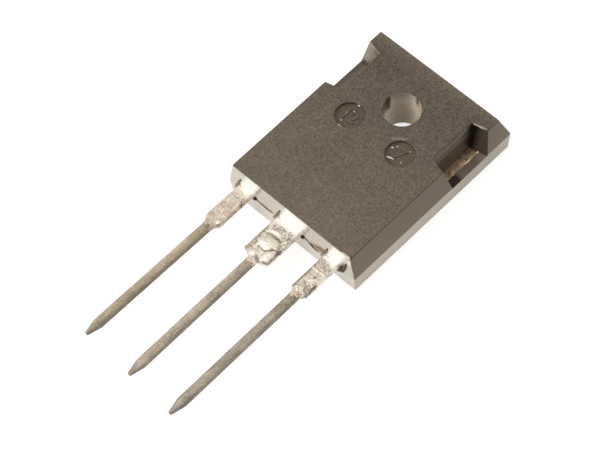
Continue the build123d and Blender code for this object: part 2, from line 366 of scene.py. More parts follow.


# %% Painted reflections, painted shade and flux stains on the end face
def end_face_light_and_stains(finish, colour, on_end, grain):
    """Lays a pale painted sheen for the table's glancing reflection, a painted reflection of each
    lead above its root, painted reflections of the leads' dark edges with painted shade beside
    them, painted shade in the root voids, and brown and burnt flux stains.

    Gives the colour, and how deep the stains, painted reflections and painted shade are.
    """
    # The pale film is a painted glancing reflection of the bright table.
    painted_sheen = finish.shade(glancing_reflection_colour, 0.85 + 0.3 * grain + 0.13 * finish.z.ramp(2.2, 1.6))
    colour = finish.blend(colour, painted_sheen, on_end)
    ragged = 0.35 * (finish.noise(0.4, 3, 0.6) - 0.5)
    across = finish.x + ragged
    up = finish.z - ragged
    white, olive, burnt_and_void_shade = 0, 0, 0
    # Above each root a pale slanted patch is a painted reflection of the lead, the dark stroke
    # along its left edge a painted reflection of that edge, the fainter one on its right painted
    # shade, and the spot at its right root corner painted shade in the void.
    for lead in leads:
        from_middle = abs(across - lead.x - 0.44 * (finish.z - lead_top))
        above = finish.z.ramp(lead_middle, lead_top + 0.2)
        white = white + from_middle.ramp(lead.shank / 2 + 0.1, lead.shank / 2 - 0.15) * above
        olive = olive + finish.stroke(
            across, up, (lead.left - 0.75, 1.5), (lead.left + 0.2, 3.7), 0.2)
        olive = olive + 0.3 * finish.stroke(
            across, up, (lead.right + 0.25, 3.1), (lead.right + 0.9, 4.6), 0.25)
        burnt_and_void_shade = burnt_and_void_shade + finish.spot(finish.x, finish.z, (lead.right + 0.12, 2.45), 0.4)
    # A pale stroke right of the emitter near the top edge is painted light too; the brown strokes
    # and the burnt spot beside them are flux stains.
    white = white + 2 * finish.stroke(across, up, (5.9, 4.0), (6.9, 4.3), 0.8)
    brown = finish.stroke(across, up, (2.7, 2.2), (4.0, 2.9), 0.7)
    brown = brown + finish.stroke(across, up, (5.8, 1.5), (6.7, 3.2), 0.45)
    burnt_and_void_shade = burnt_and_void_shade + 0.6 * finish.spot(across, up, (4.1, 2.75), 0.3)
    white = (on_end * white).clamped()
    brown = (1.3 * on_end * brown).clamped()
    olive = (1.2 * on_end * olive).clamped()
    burnt_and_void_shade = (1.8 * on_end * burnt_and_void_shade).clamped()
    colour = finish.blend(colour, painted_white_light_colour, white)
    colour = finish.blend(colour, brown_flux_colour, brown)
    colour = finish.blend(colour, edge_reflection_and_shade_colour, olive)
    colour = finish.blend(colour, burnt_flux_and_void_shade_colour, burnt_and_void_shade)
    return colour, (brown + olive + burnt_and_void_shade).clamped()


# %% Painted shade and light in the notches
def shaded_notches(finish, colour):
    """Paints shade and light onto the resin walls of both notches, and the strips of resin beside
    the copper ledge.

    The inner walls are painted light at the top and painted dark at half height. The far corners
    and the ends of the right notch get the darkest painted shade, and the left notch ends in facets
    painted pale, with a painted highlight along their top edge. The strips beside the ledge are
    painted light, with painted shade at the right notch's near end and the left notch's outer edge.
    Gives the colour, and how deep the painted shade is.
    """
    notch = abs(finish.x).ramp(notch_wall - 0.2, notch_wall - 0.05)
    notch = notch * finish.z.ramp(4.99, 4.93) * finish.z.ramp(notch_floor - 0.1, notch_floor - 0.03)
    notch = notch * finish.y.ramp(-2.6, -2.45) * finish.y.ramp(3.68, 3.62)
    inner = abs(finish.face_x).ramp(0.3, 0.6) * abs(finish.x).ramp(6.4, 6.3)
    ends = abs(finish.face_y).ramp(0.4, 0.7)
    beside_ledge = finish.face_z.ramp(0.6, 0.9)
    left = finish.x.ramp(0, -1)
    far_corner = finish.y.ramp(1.7, 3.0)
    # Painted light on the upper inner walls, pale painted facets with a painted highlight, and
    # painted shade below.
    upper = notch * inner * finish.z.ramp(3.6, 4.4) * (1 - far_corner)
    colour = finish.shade(colour, 1 + 0.9 * upper)
    facet_light = 1.15 - 0.45 * finish.x.ramp(-7.2, -6.4) + 0.7 * finish.z.ramp(4.7, 4.9)
    facet = finish.shade(pale_facet_colour, facet_light)
    colour = finish.blend(colour, facet, notch * ends * left * finish.z.ramp(2.2, 2.9))
    halfway = 0.46 * finish.z.ramp(4.2, 3.4) - 0.28 * finish.z.ramp(3.0, 2.3)
    dark = inner * (halfway * (1 - far_corner) + 0.88 * far_corner)
    dark = dark + ends * (1 - left) * (0.83 - 0.63 * finish.x.ramp(6.0, 7.0))
    near_end = finish.y.ramp(-0.1, -0.7) * finish.x.ramp(6.6, 6.75)
    outer_left = finish.x.ramp(-7.2, -7.6)
    dark = dark + beside_ledge * (0.9 * near_end + 0.4 * outer_left)
    light = 0.25 + 0.35 * left + 1.5 * (1 - left) * finish.y.ramp(1.5, 2.6)
    light = notch * beside_ledge * light
    dark = (notch * dark).clamped()
    return finish.shade(colour, 1 + light - (1 + light) * dark), 0.8 * dark.ramp(0.45, 1.05)


# %% Painted shade and highlights, worn edges, the hole wall and the pin marks
def worn_and_shaded_places(finish, colour):
    """Lays painted shade along the top edges of the long sides, a dark parting line, the hole wall
    with painted light and painted shade, darker pin mark floors with painted shade on their gate
    side, a dark chip, pale flaked and scuffed edges, and a painted highlight along the right
    notch's far top edge.

    Gives the colour, and how deep the painted shade on the hole wall is.
    """
    top_rim = finish.z.ramp(4.86, 4.93)
    # Painted shade along the top edges of the long sides.
    side_rim = abs(finish.x).ramp(front_half_width - 0.1, front_half_width - 0.03) * top_rim
    parting_line = abs(finish.z - parting_height).ramp(0.05, 0.02)
    dark = 0.75 * side_rim + 0.35 * parting_line * abs(finish.face_x).ramp(0.7, 0.95)

    from_axis = finish.away(finish.x, finish.y, (0, 0))
    on_wall = abs(finish.face_z).ramp(0.4, 0.2)
    on_wall = on_wall * from_axis.ramp(hole_radius + 0.125, hole_radius + 0.075)
    # How far right of the hole's axis a place looks from the camera. The wall is painted light as a
    # painted reflection, most towards its sides and on the right, and darker near the rim as
    # painted shade.
    beside = 0.67 * finish.x + 0.74 * finish.y
    light = 1.0 + 0.42 * abs(beside).ramp(0.3, 1.2) + 0.65 * beside.ramp(0.7, 1.5)
    light = light - 0.55 * finish.z.ramp(3.4, 4.8)
    colour = finish.blend(colour, finish.shade(hole_wall_colour, light), on_wall)
    # The crescent and the gap are painted shade on the hole wall.
    crescent = finish.stroke(finish.x, finish.y, (-1.15, -1.4), (-1.8, 0.2), 0.5)
    gap = finish.spot(finish.x, finish.y, (0.25, 1.7), 0.35)
    dark = dark + on_wall * (1.2 * crescent * finish.z.ramp(2.2, 3.6))
    dark = dark + on_wall * gap * finish.z.ramp(3.4, 4.5)

    in_mark = finish.z.ramp(4.97, 4.93)
    for side in (-1, 1):
        middle = (side * pin_mark_spread, -pin_mark_setback)
        away = finish.away(finish.x, finish.y, middle)
        inside = away.ramp(pin_mark_radius + 0.02, pin_mark_radius - 0.01) * in_mark
        # Painted shade on the gate side of each mark's rim.
        gate_side = 0.9 * (middle[0] - finish.x) + 0.3 * (middle[1] - finish.y)
        painted_rim_shade = gate_side.ramp(-0.3, 1.0) * away.ramp(0.98, 1.25)
        dark = dark + inside * (0.44 + 0.9 * painted_rim_shade)
    chip = finish.spot(finish.x, finish.y, (7.2, -14.45), 0.28)
    dark = (dark + chip * top_rim).clamped()
    colour = finish.blend(colour, shade_seam_and_chip_colour, dark)

    # The stroke along the right notch's far top edge is a painted highlight; the flaked and scuffed
    # strokes are pale worn edges.
    torn = finish.stroke(finish.x, finish.y, (5.85, 3.2), (7.15, 3.52), 0.15)
    scuffed = finish.stroke(finish.x, finish.y, (1.44, -2.89), (2.5, -2.0), 0.15)
    flaked = finish.stroke(finish.x, finish.y, (6.3, -14.66), (7.1, -14.62), 0.2)
    torn = torn * finish.noise(0.3, 1).ramp(0.25, 0.6) + 1.6 * flaked + 0.2 * scuffed
    torn = (torn * finish.z.ramp(4.85, 4.92)).clamped()
    return finish.blend(colour, torn_edge_and_highlight_colour, torn), 0.8 * on_wall * dark


# %% The whole epoxy finish
def moulded_epoxy():
    finish = Finish(
        "epoxy_mould", IOR=1.6, Specular_Tint=(1.0, 0.86, 0.68, 1),
        Coat_IOR=1.6, Coat_Roughness=0.15)
    grain = finish.noise(0.18, 2, 0.6)
    on_end = finish.face_y.ramp(-0.7, -0.95) * finish.y.ramp(end_face + 0.3, end_face + 0.15)
    colour, band = grained_epoxy(finish, grain)
    colour, stain_and_shade = end_face_light_and_stains(finish, colour, on_end, grain)
    colour, notch_shade = shaded_notches(finish, colour)
    colour, painted_light_and_shade = worn_and_shaded_places(finish, colour)
    in_mark = finish.z.ramp(4.95, 4.9)
    band_gloss = 0.57 - 0.13 * finish.y.ramp(-8, 0) - 0.16 * finish.y.ramp(2, 4.5)
    # The right notch's rounded rim is darkened as painted shade; the left one is only made rougher.
    from_wall = abs(finish.x) - notch_wall
    rim = from_wall.ramp(-0.45, -0.15) * from_wall.ramp(0.75, 0.55)
    rim = rim * abs(finish.y - notch_middle).ramp(3.6, 3.4)
    rim = rim * finish.face_z.ramp(0.99, 0.9) * finish.z.ramp(4.2, 4.4)
    left_rim = rim * finish.x.ramp(0, -1)
    colour = finish.shade(colour, 1 - 0.4 * (rim - left_rim))
    finish.feed(
        Base_Color=colour,
        Roughness=0.42 + 0.3 * (grain - 0.5) - 0.15 * in_mark + 0.6 * left_rim,
        Coat_Weight=on_end * (1 - stain_and_shade) + band * band_gloss,
        Metallic=(notch_shade + painted_light_and_shade + 0.7 * stain_and_shade).clamped(),
    )
    finish.relief(grain * (1 - 0.8 * on_end), 0.012)
    return finish.material


epoxy = moulded_epoxy()
print("the epoxy finish has", len(epoxy.node_tree.nodes), "nodes")

# %% [markdown]
# ## Copper and tin
# The tab and the middle lead are one piece of copper. Outside the body the tin covers it, so one
# finish changes from copper to tin at the end face. Rolled and stamped copper shows fine lines and
# brown tarnish, and the strip in the notch is painted light towards its outer edge and far end.
# Old tin is dull and a little streaky along the lead, and painted lighter on its -X side and darker
# on its +X side as painted light and shade. Handling has made each lead a slightly different tone.

# %% Copper and tin finishes
copper_colour = (0.45, 0.315, 0.185)
tarnish_colour = (0.19, 0.125, 0.065)
spatter_colour = (0.13, 0.09, 0.05)
gate_tin = (0.40, 0.33, 0.24)
collector_tin = (0.40, 0.335, 0.26)
emitter_tin = (0.33, 0.285, 0.228)


def across_lead(finish):
    """How far a place on a lead is to the +X side of that lead's own bent middle line."""
    bend = ((end_face - blade_start - finish.y) * (1 / (lead_reach - blade_start))).clamped()
    middle = gate.x + gate.splay * bend
    for before, lead in ((gate, collector), (collector, emitter)):
        between = (before.x + lead.x) / 2
        step = lead.x - before.x + (lead.splay - before.splay) * bend
        middle = middle + step * finish.x.ramp(between, between + 0.1)
    return finish.x - middle


def tin_over_copper(name, bare_copper):
    """Old tin over the whole piece, or, with bare_copper, over its lead only."""
    finish = Finish(name, Metallic=0.75)
    streaks = finish.noise(0.3, 3, 0.6, twist=0.4, stretch=(1, 6, 1))
    clouds = finish.noise(1.4, 3)
    grain = finish.noise(0.14, 2, 0.6)
    tin = finish.blend(gate_tin, collector_tin, finish.x.ramp(gate.x / 2, gate.x / 2 + 1))
    tin = finish.blend(tin, emitter_tin, finish.x.ramp(emitter.x / 2, emitter.x / 2 + 1))
    tin = finish.shade(tin, 1 + 1.1 * (streaks - 0.5) + 0.9 * (clouds - 0.5) + 1.3 * (grain - 0.5))
    # Each lead is painted lighter on its -X side and darker on its +X side and +X-facing faces:
    # painted light and shade.
    painted_side_shade = across_lead(finish).ramp(-0.45, 0.5)
    contrast = 0.55 - 0.3 * finish.x.ramp(gate.x / 2, emitter.x)
    tin = finish.shade(tin, 1 + contrast * (0.5 - painted_side_shade) - 0.12 * finish.face_x.ramp(0.1, 0.9))
    tip = finish.y.ramp(lead_tips + 1.3, lead_tips + 0.3)
    tin = finish.shade(tin, 1 - 0.2 * tip)
    colour = tin
    if bare_copper:
        rolled = finish.noise(0.12, 3, 0.6, twist=0.2, stretch=(1, 30, 1))
        on_back = finish.z.ramp(1.0, 0.5)
        tarnish = finish.noise(0.5, 4, 0.7).ramp(0.42, 0.62) * (1 - 0.65 * on_back)
        copper = finish.blend(copper_colour, tarnish_colour, tarnish)
        # The strip in the notch is painted lighter towards its outer edge and far end, and darker
        # by the wall and the near end: painted light and shade.
        painted_strip_light = abs(finish.x).ramp(6.25, 6.9) * (0.4 + 0.6 * finish.y.ramp(-2, 2))
        painted_light_and_shade = (0.3 + 0.85 * painted_strip_light) * (1 - on_back) + 0.55 * on_back
        copper = finish.shade(copper, 0.85 * rolled + painted_light_and_shade)
        colour = finish.blend(copper, tin, finish.y.ramp(end_face + 0.2, end_face))
    spattered = finish.y.ramp(end_face - 9, end_face - 5) * finish.y.ramp(end_face, end_face - 1)
    spatter = finish.noise(0.2, 2, 0.6).ramp(0.5, 0.62) * spattered
    colour = finish.blend(colour, spatter_colour, spatter * (0.35 + 0.4 * finish.x.ramp(2, 3)))
    finish.feed(Base_Color=colour, Roughness=0.3 + 0.3 * streaks)
    finish.relief(0.6 * streaks + 0.4 * grain, 0.015)
    return finish.material


collector_metal = tin_over_copper("copper_frame", True)
lead_metal = tin_over_copper("tinned_lead", False)
print("metal finishes:", collector_metal.name, "and", lead_metal.name)

# %% [markdown]
# ## Solder, silicon and bond wire
# Solder is brighter than the old tin, and flux has dried brown in its hollows. How bright, how
# hollow and how freckled the coat is comes from attributes that its own mesh carries. The
# brightness includes painted light on the +X side, and the dark creases along a lead's side edges
# are painted shade. The chips and wires are sealed in the body: their finishes are short, and show
# only when the model is taken apart.

# %% Solder, silicon and wire finishes
solder_colour = (0.86, 0.785, 0.68)
old_solder_colour = (0.49, 0.385, 0.295)
dry_flux_and_crease_shade_colour = (0.10, 0.065, 0.04)


def lumpy_solder():
    finish = Finish("solder", Metallic=0.65)
    bright = finish.attribute("bright")
    hollow = finish.attribute("hollow")
    freckled = finish.attribute("freckled")
    mottle = finish.noise(0.28, 3, 0.65)
    fine = finish.noise(0.12, 2, 0.6)
    wet = (bright + 1.8 * (mottle - 0.5) + 1.6 * (fine - 0.5)).clamped()
    colour = finish.blend(old_solder_colour, solder_colour, wet)
    at_root = finish.y - 0.35 * finish.x.ramp(gate.x / 2, gate.x)
    at_root = at_root.ramp(end_face - 1.1, end_face - 0.6)
    colour = finish.blend(colour, cream_flux_colour, 0.85 * at_root)
    dots = finish.noise(0.12, 2).ramp(0.485, 0.575) * freckled
    # Creases along the lead's side edges darken as painted shade; the others hold dried flux.
    ragged = (hollow + 0.9 * (fine - 0.5)) * hollow.ramp(0, 0.3)
    colour = finish.blend(colour, dry_flux_and_crease_shade_colour, (ragged + 0.85 * dots).clamped())
    finish.feed(Base_Color=colour, Roughness=(0.42 - 0.06 * wet + 0.3 * (fine - 0.5)).clamped())
    finish.relief((0.5 * fine + 0.5 * mottle) * (1 - 0.8 * at_root), 0.02)
    return finish.material


def polished_silicon():
    finish = Finish("silicon", Metallic=0.8)
    lines = finish.noise(0.2, 1, stretch=(1, 20, 1))
    finish.feed(
        Base_Color=finish.shade((0.30, 0.30, 0.34), 0.8 + 0.4 * lines),
        Roughness=0.1 + 0.15 * lines,
    )
    return finish.material


def drawn_wire():
    finish = Finish("bond_wire", Metallic=1.0)
    draw_marks = finish.noise(0.08, 2)
    finish.feed(
        Base_Color=finish.shade((0.78, 0.78, 0.79), 0.85 + 0.3 * draw_marks),
        Roughness=0.2 + 0.2 * draw_marks,
    )
    return finish.material


solder = lumpy_solder()
silicon = polished_silicon()
wire = drawn_wire()
print("more finishes:", [made.name for made in (solder, silicon, wire)])

# %% [markdown]
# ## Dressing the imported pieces
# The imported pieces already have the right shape, so they only get their finish, by name.

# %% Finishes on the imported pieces
dressed = {
    "mould_body": epoxy,
    "collector_tab": collector_metal,
    "gate_lead": lead_metal,
    "emitter_lead": lead_metal,
}
for name, node in nodes.items():
    if name in dressed:
        finish = dressed[name]
    elif "wire" in name:
        finish = wire
    elif name.endswith("_chip"):
        finish = silicon
    else:
        finish = solder
    node.data.materials.clear()
    node.data.materials.append(finish)
print("dressed", len(nodes), "packed pieces")

# %% [markdown]
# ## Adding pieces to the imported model
# Every added piece starts as a bmesh in millimetres, because a bmesh can be cut, welded and moved
# without touching the scene. One helper ends them all: it goes over to metres, turns the normals
# outwards, and rides the piece on the part's one body.


# %% Putting a made piece in the frame
def finish_piece(name, shape, material, smooth=True):
    """Turns a bmesh made in mm into an object that rides on the part."""
    bmesh.ops.scale(shape, verts=shape.verts, vec=(MM, MM, MM))
    bmesh.ops.recalc_face_normals(shape, faces=shape.faces)
    for face in shape.faces:
        face.smooth = smooth
    mesh = bpy.data.meshes.new(name)
    shape.to_mesh(mesh)
    shape.free()
    mesh.materials.append(material)
    piece = bpy.data.objects.new(name, mesh)
    bpy.context.scene.collection.objects.link(piece)
    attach(piece, "root")
    print(name, len(mesh.polygons), "faces")
    return piece


# %% [markdown]
# ## Solder left on the shanks
# When the part was taken off its board, molten solder stayed on the broad part of each lead: a thin
# wavy coat all round, heavier lumps on top, and creases where the lumps froze against each other.
# Creases along a lead's side edges are painted shade.
# One coat is a flat grid wrapped round the lead's rounded section. Each point is then pushed out
# along its own direction by the coat's thickness there. That keeps the mesh even, and one function
# of place decides the whole shape.


# %% What one coat is made of
class Lump(NamedTuple):
    """A raised place: its middle, its two half sizes, its turn in degrees, and its height."""

    across: float
    out: float
    half_across: float
    half_out: float
    turn: float
    height: float


class Crease(NamedTuple):
    """A dark sunken line through a few points, each across and out, with its breadth."""

    points: list
    breadth: float


class Coat(NamedTuple):
    """All that makes the solder on one lead different from the others."""

    lead: Lead
    lumps: list
    creases: list
    freckles: list
    brightness: float
    painted_side_light: float


print("a coat has", ", ".join(Coat._fields))

# %% The three coats
# Creases that run along a lead's side edges are painted shade, and the side light is painted light
# on the lead's +X side.
gate_coat = Coat(
    gate,
    lumps=[
        Lump(-0.15, 1.7, 0.7, 0.6, 10, 0.05),
        Lump(0.2, 3.0, 0.6, 0.7, -15, 0.05),
        Lump(0.62, 4.2, 0.35, 0.3, 0, 0.09),
    ],
    creases=[
        Crease([(0.98, 0.7), (0.94, 2.25), (0.98, 3.6)], 0.14),
        Crease([(0.75, 4.3), (0.72, 4.85)], 0.12),
        Crease([(-0.3, 1.25), (0.35, 1.15)], 0.07),
        Crease([(-0.55, 2.7), (-0.1, 2.75)], 0.07),
    ],
    freckles=[Crease([(0.6, 1.0), (0.8, 1.7)], 0.17)],
    brightness=0.32,
    painted_side_light=0.0,
)
collector_coat = Coat(
    collector,
    lumps=[
        Lump(-0.45, 1.5, 0.8, 0.3, -20, 0.06),
        Lump(0.9, 1.65, 0.4, 0.5, 10, 0.08),
        Lump(-0.05, 2.85, 1.0, 0.75, -25, 0.16),
        Lump(0.95, 3.75, 0.62, 1.0, 15, 0.19),
        Lump(-0.3, 4.3, 0.5, 0.35, 0, 0.1),
    ],
    creases=[
        Crease([(-0.75, 2.02), (0.0, 1.9), (0.69, 1.98)], 0.24),
        Crease([(-0.45, 3.55), (0.35, 3.6), (0.68, 3.11), (0.98, 2.83), (1.36, 2.99)], 0.13),
        Crease([(0.12, 4.5), (0.82, 4.86), (1.42, 4.3), (1.45, 3.67), (1.38, 2.7)], 0.28),
        Crease([(-1.45, 1.6), (-1.45, 3.6), (-1.35, 4.6)], 0.42),
        Crease([(-0.9, 3.3), (-1.0, 3.9), (-0.65, 4.07)], 0.12),
    ],
    freckles=[
        Crease([(-0.72, 1.15), (0.34, 1.0), (1.2, 1.2)], 0.45),
        Crease([(0.8, 1.0), (1.25, 2.5)], 0.6),
        Crease([(-1.3, 2.0), (-1.2, 4.6)], 0.4),
    ],
    brightness=0.74,
    painted_side_light=1.0,
)
emitter_coat = Coat(
    emitter,
    lumps=[
        Lump(0.1, 1.83, 0.95, 0.1, -3, 0.09),
        Lump(0.4, 2.85, 0.6, 0.6, 10, 0.09),
        Lump(-0.15, 4.15, 0.45, 0.45, 20, 0.08),
        Lump(0.5, 4.3, 0.3, 0.3, 0, 0.06),
    ],
    creases=[
        Crease([(-0.75, 1.5), (-0.62, 1.75)], 0.13),
        Crease([(0.17, 2.5), (0.2, 2.6)], 0.17),
        Crease([(0.85, 3.2), (0.93, 3.75), (0.9, 4.6), (0.68, 5.0)], 0.27),
        Crease([(-0.92, 2.2), (-0.92, 4.2)], 0.4),
        Crease([(-0.35, 3.35), (0.1, 3.6), (0.4, 4.2)], 0.07),
        Crease([(-0.5, 3.9), (-0.2, 4.1), (0.1, 4.6)], 0.06),
    ],
    freckles=[
        Crease([(-0.6, 0.95), (0.3, 1.15), (0.9, 1.45)], 0.5),
        Crease([(0.6, 3.3), (0.7, 3.9), (0.4, 5.6)], 0.5),
    ],
    brightness=0.46,
    painted_side_light=0.8,
)
coats = [gate_coat, collector_coat, emitter_coat]
print("lumps on each lead:", [len(coat.lumps) for coat in coats])

# %% The thickness of the coat at a place
coat_film = 0.03
wave_height = 0.022
ripple_height = 0.02
crease_depth = 0.06
root_fillet = 0.03
root_fillet_reach = 0.16
coat_end = 5.0
end_fade = 0.5
end_tuck = 0.06


def clamp(value):
    """The value, held between 0 and 1."""
    return min(1.0, max(0.0, value))


def dome(distance):
    """1 in the middle, falling smoothly to 0 at a distance of 1."""
    return max(0.0, 1 - distance * distance) ** 2


def rise(lump, across, out):
    """How high a lump stands at a place."""
    angle = math.radians(lump.turn)
    shift_across = across - lump.across
    shift_out = out - lump.out
    along = shift_across * math.cos(angle) + shift_out * math.sin(angle)
    aside = shift_out * math.cos(angle) - shift_across * math.sin(angle)
    return lump.height * dome(math.hypot(along / lump.half_across, aside / lump.half_out)) ** 0.7


def nearness(crease, across, out):
    """1 on a crease, 0 beyond its breadth."""
    place = Vector((across, out))
    best = crease.breadth
    for start, end in zip(crease.points, crease.points[1:]):
        start, end = Vector(start), Vector(end)
        share = (place - start).dot(end - start) / (end - start).length_squared
        nearest = start.lerp(end, clamp(share))
        best = min(best, (place - nearest).length)
    return 1 - best / crease.breadth


def coat_at(coat, across, out, outward):
    """Thickness, and the three attributes, at one place on a lead."""
    seed = Vector((across + coat.lead.x, out, outward.y))
    wave = noise.noise(seed * 2.1)
    ripple = noise.noise(seed * 6.0 + Vector((7, 0, 0)))
    wobble = 0.12 * noise.noise(seed * 3.0 + Vector((0, 9, 0)))
    on_top = clamp(1.4 * outward.y)
    at_root = max(0.0, 1 - out / 2.0)
    calm = 1 - 0.85 * clamp(2 - out)
    lumps = on_top * sum(rise(lump, across + wobble, out + wobble) for lump in coat.lumps)
    sunk = on_top * max(nearness(crease, across + wobble, out + wobble) for crease in coat.creases)
    freckled = min(1.0, 2 * max(nearness(area, across, out) for area in coat.freckles))
    thickness = coat_film + calm * (wave_height * wave + ripple_height * ripple)
    thickness += lumps * (1 + 0.25 * ripple) - crease_depth * sunk
    thickness += root_fillet * max(0.0, 1 - out / root_fillet_reach) ** 2
    fade = (out + 0.6 * wave - coat_end) / end_fade
    thickness -= (coat_film + end_tuck) * min(1.5, max(0.0, fade))
    # Lumps are brighter, partly as lighter solder and partly as a painted highlight, and the +X
    # side gets painted light.
    bright = coat.brightness + 2.6 * lumps + 0.3 * wave + 0.6 * at_root
    bright += coat.painted_side_light * max(0.0, outward.x)
    bright -= 0.35 * clamp(fade + 1)
    return thickness, (bright, sunk, freckled)


big_lump = collector_coat.lumps[3]
big_thickness = coat_at(collector_coat, big_lump.across, big_lump.out, Vector((0, 1)))[0]
print("thickness on the collector's big lump:", round(big_thickness, 3), "mm")

# %% The section that a coat is wrapped round
corner_steps = 8
side_steps = 2
coat_step = 0.05
coat_length = 5.75
coat_sunk = 0.05


def ring(half_width, flat_steps):
    """Points round a lead's section, with their outward directions, starting at its +X side."""
    half_height = lead_thickness / 2
    flat = half_width - lead_rounding
    wall = half_height - lead_rounding
    signs = [(1, 1), (-1, 1), (-1, -1), (1, -1)]
    places = []
    for quarter, (side, level) in enumerate(signs):
        corner = Vector((side * flat, level * wall))
        for step in range(corner_steps):
            angle = (quarter + step / corner_steps) * math.pi / 2
            outward = Vector((math.cos(angle), math.sin(angle)))
            places.append((corner + outward * lead_rounding, outward))
        next_side, next_level = signs[(quarter + 1) % 4]
        steps = flat_steps if next_level == level else side_steps
        angle = (quarter + 1) * math.pi / 2
        outward = Vector((math.cos(angle), math.sin(angle)))
        start = corner + outward * lead_rounding
        end = Vector((next_side * flat, next_level * wall)) + outward * lead_rounding
        places += [(start.lerp(end, step / steps), outward) for step in range(steps)]
    return places


def half_width_at(lead, out):
    """The lead narrows from its shank to its blade over the shoulder."""
    share = clamp((out - shank_length) / (blade_start - shank_length))
    return (lead.shank + (blade_width - lead.shank) * share) / 2


blade_half_width = half_width_at(collector, blade_start)
print("half of the collector's blade:", round(blade_half_width, 3), "mm")


# %% Wrapping a grid round a lead
def solder_coat(coat):
    """One lead's coat: a closed grid round its section, pushed out by the coat's thickness."""
    lead = coat.lead
    flat_steps = round((lead.shank - 2 * lead_rounding) / coat_step)
    around = 4 * corner_steps + 2 * flat_steps + 2 * side_steps
    along = round(coat_length / coat_step)
    outs = [row / along * coat_length - coat_sunk for row in range(along + 1)]
    rings = [ring(half_width_at(lead, out), flat_steps) for out in outs]
    shape = bmesh.new()
    bmesh.ops.create_grid(shape, x_segments=around, y_segments=along, size=0.5)
    layers = [shape.verts.layers.float.new(name) for name in ("bright", "hollow", "freckled")]
    for vertex in shape.verts:
        row = round((vertex.co.y + 0.5) * along)
        place, outward = rings[row][round((vertex.co.x + 0.5) * around) % around]
        out = outs[row]
        bend = max(0.0, out - blade_start) / (lead_reach - blade_start)
        thickness, values = coat_at(coat, place.x, out, outward)
        for layer, value in zip(layers, values):
            vertex[layer] = value
        surface = place + outward * thickness
        vertex.co = (
            lead.x + lead.splay * bend + surface.x,
            end_face - out,
            lead_middle + lead.lift * bend + surface.y,
        )
    bmesh.ops.remove_doubles(shape, verts=shape.verts, dist=coat_step / 1000)
    bmesh.ops.holes_fill(shape, edges=[edge for edge in shape.edges if edge.is_boundary], sides=0)
    piece = finish_piece(lead.name + "_solder_coat", shape, solder)
    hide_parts(lead.name + "_lead_solder")


for coat in coats:
    solder_coat(coat)

# %% [markdown]
# ## Seams, torn resin, burrs, painted reflections and painted glints
# The two mould halves leave a thin uneven seam on the end face, and dirt collects along it. The
# hole and the copper in the notch have small torn edges, and the copper burrs are painted nearly
# white as a painted highlight. Flux has dried in ridges beside the leads; the dark ridge along
# each lead's left edge is a painted reflection of that edge, and the dark threads in the root
# voids are painted shade. Pale beads on the floors of the pin marks are painted glints. Each of
# them is a lumpy thread laid along a few points and half sunk into the surface. A thread is again
# a flat grid, wrapped round its path.


# %% Threads
class Thread(NamedTuple):
    """A lumpy thread through a few points: half its thickness, and how uneven it is."""

    name: str
    points: list
    radius: float
    unevenness: float
    material: bpy.types.Material
    slot: str


def plain_finish(name, colour, **settings):
    """A finish with one colour, made uneven by a fine grain."""
    finish = Finish(name, **settings)
    grain = finish.noise(0.12, 3, 0.6)
    finish.feed(Base_Color=finish.shade(colour, 0.5 + grain), Roughness=0.3 + 0.4 * grain)
    return finish.material


warm_shine = {"Specular_Tint": (1.0, 0.8, 0.6, 1), "IOR": 1.35}
dark_seam = plain_finish("dirty_seam", (0.10, 0.070, 0.046), **warm_shine)
torn_resin = plain_finish("torn_resin", (0.40, 0.35, 0.27))
# The burr copper is nearly white: a painted highlight.
burr_highlight_copper = plain_finish("copper_burr_highlight", (0.98, 0.86, 0.70), Metallic=0.6)
# Burnt and scorched flux also serve as painted shade in the root voids, and the old flux finish as
# a painted reflection of the leads' dark edges.
burnt_flux_and_void_shade = plain_finish("burnt_flux_and_void_shade", (0.06, 0.035, 0.02), **warm_shine)
edge_reflection_finish = plain_finish("edge_reflection_finish", (0.26, 0.20, 0.135), **warm_shine)
scorched_flux_and_void_shade = plain_finish("scorched_flux_and_void_shade", (0.12, 0.08, 0.055), **warm_shine)
pale_flux = plain_finish("pale_flux", (0.40, 0.305, 0.245), **warm_shine)
# This pale finish paints glints: a painted highlight.
painted_glint_finish = plain_finish("painted_glint_finish", (0.95, 0.90, 0.80))
print("a thread has", ", ".join(Thread._fields))


# %% Seams and torn edges
def on_end_face(*places, deeper=0.0):
    """Thread points on the end face, each given across and up, and how deep they all lie."""
    return [(across, end_face - 0.015 + deeper, up) for across, up in places]


threads = [
    Thread("seam_gate_side", on_end_face(
        (-4.45, 2.42), (-4.0, 2.37), (-3.4, 2.36), (-2.8, 2.3), (-2.2, 2.38),
    ), 0.045, 0.04, dark_seam, "epoxy_mould"),
    Thread("seam_emitter_side", on_end_face(
        (1.5, 2.56), (1.85, 2.5), (2.35, 2.25), (2.85, 1.97), (3.4, 1.83),
    ), 0.045, 0.04, dark_seam, "epoxy_mould"),
    Thread("torn_hole_edge", [
        (0.85, 1.55, 4.82), (1.12, 1.36, 4.86), (1.42, 1.05, 4.8), (1.6, 0.68, 4.7),
        (1.70, 0.3, 4.6),
    ], 0.13, 0.12, torn_resin, "epoxy_mould"),
    Thread("notch_burr", [
        (6.9, 0.9, 2.0), (6.92, 1.4, 2.02), (6.91, 1.75, 2.0),
    ], 0.07, 0.04, burr_highlight_copper, "copper_frame"),
    Thread("notch_far_burr", [
        (6.88, 2.45, 2.0), (6.9, 2.85, 2.02), (6.88, 3.05, 2.0),
    ], 0.085, 0.04, burr_highlight_copper, "copper_frame"),
]
print([thread.name for thread in threads])

